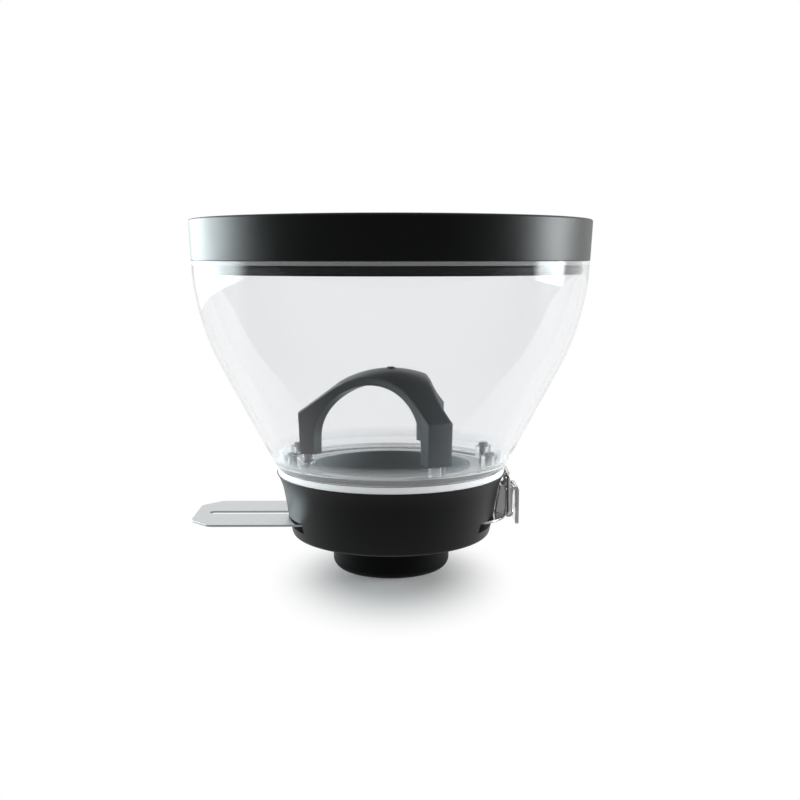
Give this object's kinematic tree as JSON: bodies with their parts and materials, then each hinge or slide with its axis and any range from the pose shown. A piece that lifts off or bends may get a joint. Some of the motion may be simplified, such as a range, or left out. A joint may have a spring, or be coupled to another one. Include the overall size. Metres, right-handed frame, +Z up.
{
  "type": "coffee grinder bean hopper",
  "caption": "Clear tapered bean hopper of a burr grinder, with a black lid, arched finger guard, black collar, slide gate, side toggle latch and outlet spigot.",
  "frame": {"origin": "centre of the outlet's bottom face, on the hopper's axis", "axes": "+Z up the hopper's axis; the slide gate pulls out towards -X and the toggle latch is on the +X side"},
  "size_m": [0.2009, 0.1998, 0.1768],
  "materials": {
    "lid_black_abs": "fine-grained moulded black ABS",
    "base_black_abs": "satin moulded black ABS",
    "clear_polycarbonate": "clear polished polycarbonate",
    "grey_polyamide": "fine satin moulded grey",
    "guide_black_acetal": "smooth moulded acetal",
    "stainless_sheet": "satin rolled stainless sheet",
    "plated_steel": "bright nickel-plated steel",
    "stainless_fastener": "machined stainless",
    "spring_steel": "rolled spring strip",
    "black_silicone": "moulded soft silicone"
  },
  "bodies": {
    "hopper": {"hopper_bowl": "clear_polycarbonate", "finger_guard": "grey_polyamide", "guard_screws": "stainless_fastener", "throat_liner": "grey_polyamide", "collar": "base_black_abs", "nozzle": "base_black_abs", "gate_bed": "guide_black_acetal", "gate_guide": "guide_black_acetal", "guide_screws": "stainless_fastener", "gate_stop_pin": "stainless_fastener", "gate_springs": "spring_steel", "keeper_plate": "plated_steel", "keeper_screws": "stainless_fastener", "rear_hook": "plated_steel", "rear_hook_screws": "stainless_fastener", "latch_base": "plated_steel", "latch_foot_screws": "stainless_fastener", "latch_pivot_rivets": "plated_steel"},
    "lid": {"lid": "lid_black_abs", "lid_seal": "black_silicone"},
    "gate": {"slide_gate": "stainless_sheet"},
    "lever": {"latch_lever": "plated_steel"},
    "bail": {"latch_bail": "plated_steel"}
  },
  "joints": [
    {"name": "lid_lift", "type": "slide", "parent": "hopper", "child": "lid", "axis": [0, 0, 1], "range_m": [0, 0.04]},
    {"name": "gate_slide", "type": "slide", "parent": "hopper", "child": "gate", "axis": [1, 0, 0], "range_m": [0, 0.047]},
    {"name": "lever_open", "type": "hinge", "parent": "hopper", "child": "lever", "pos_m": [0.0606, 0, 0.0414], "axis": [0, -1, 0], "range_deg": [0, 90]},
    {"name": "bail_swing", "type": "hinge", "parent": "lever", "child": "bail", "pos_m": [0.0604, 0, 0.0286], "axis": [0, -1, 0], "range_deg": [-90, 0]}
  ],
  "couplings": [
    {"joint": "bail_swing", "follows": "lever_open", "ratio": -1}
  ]
}
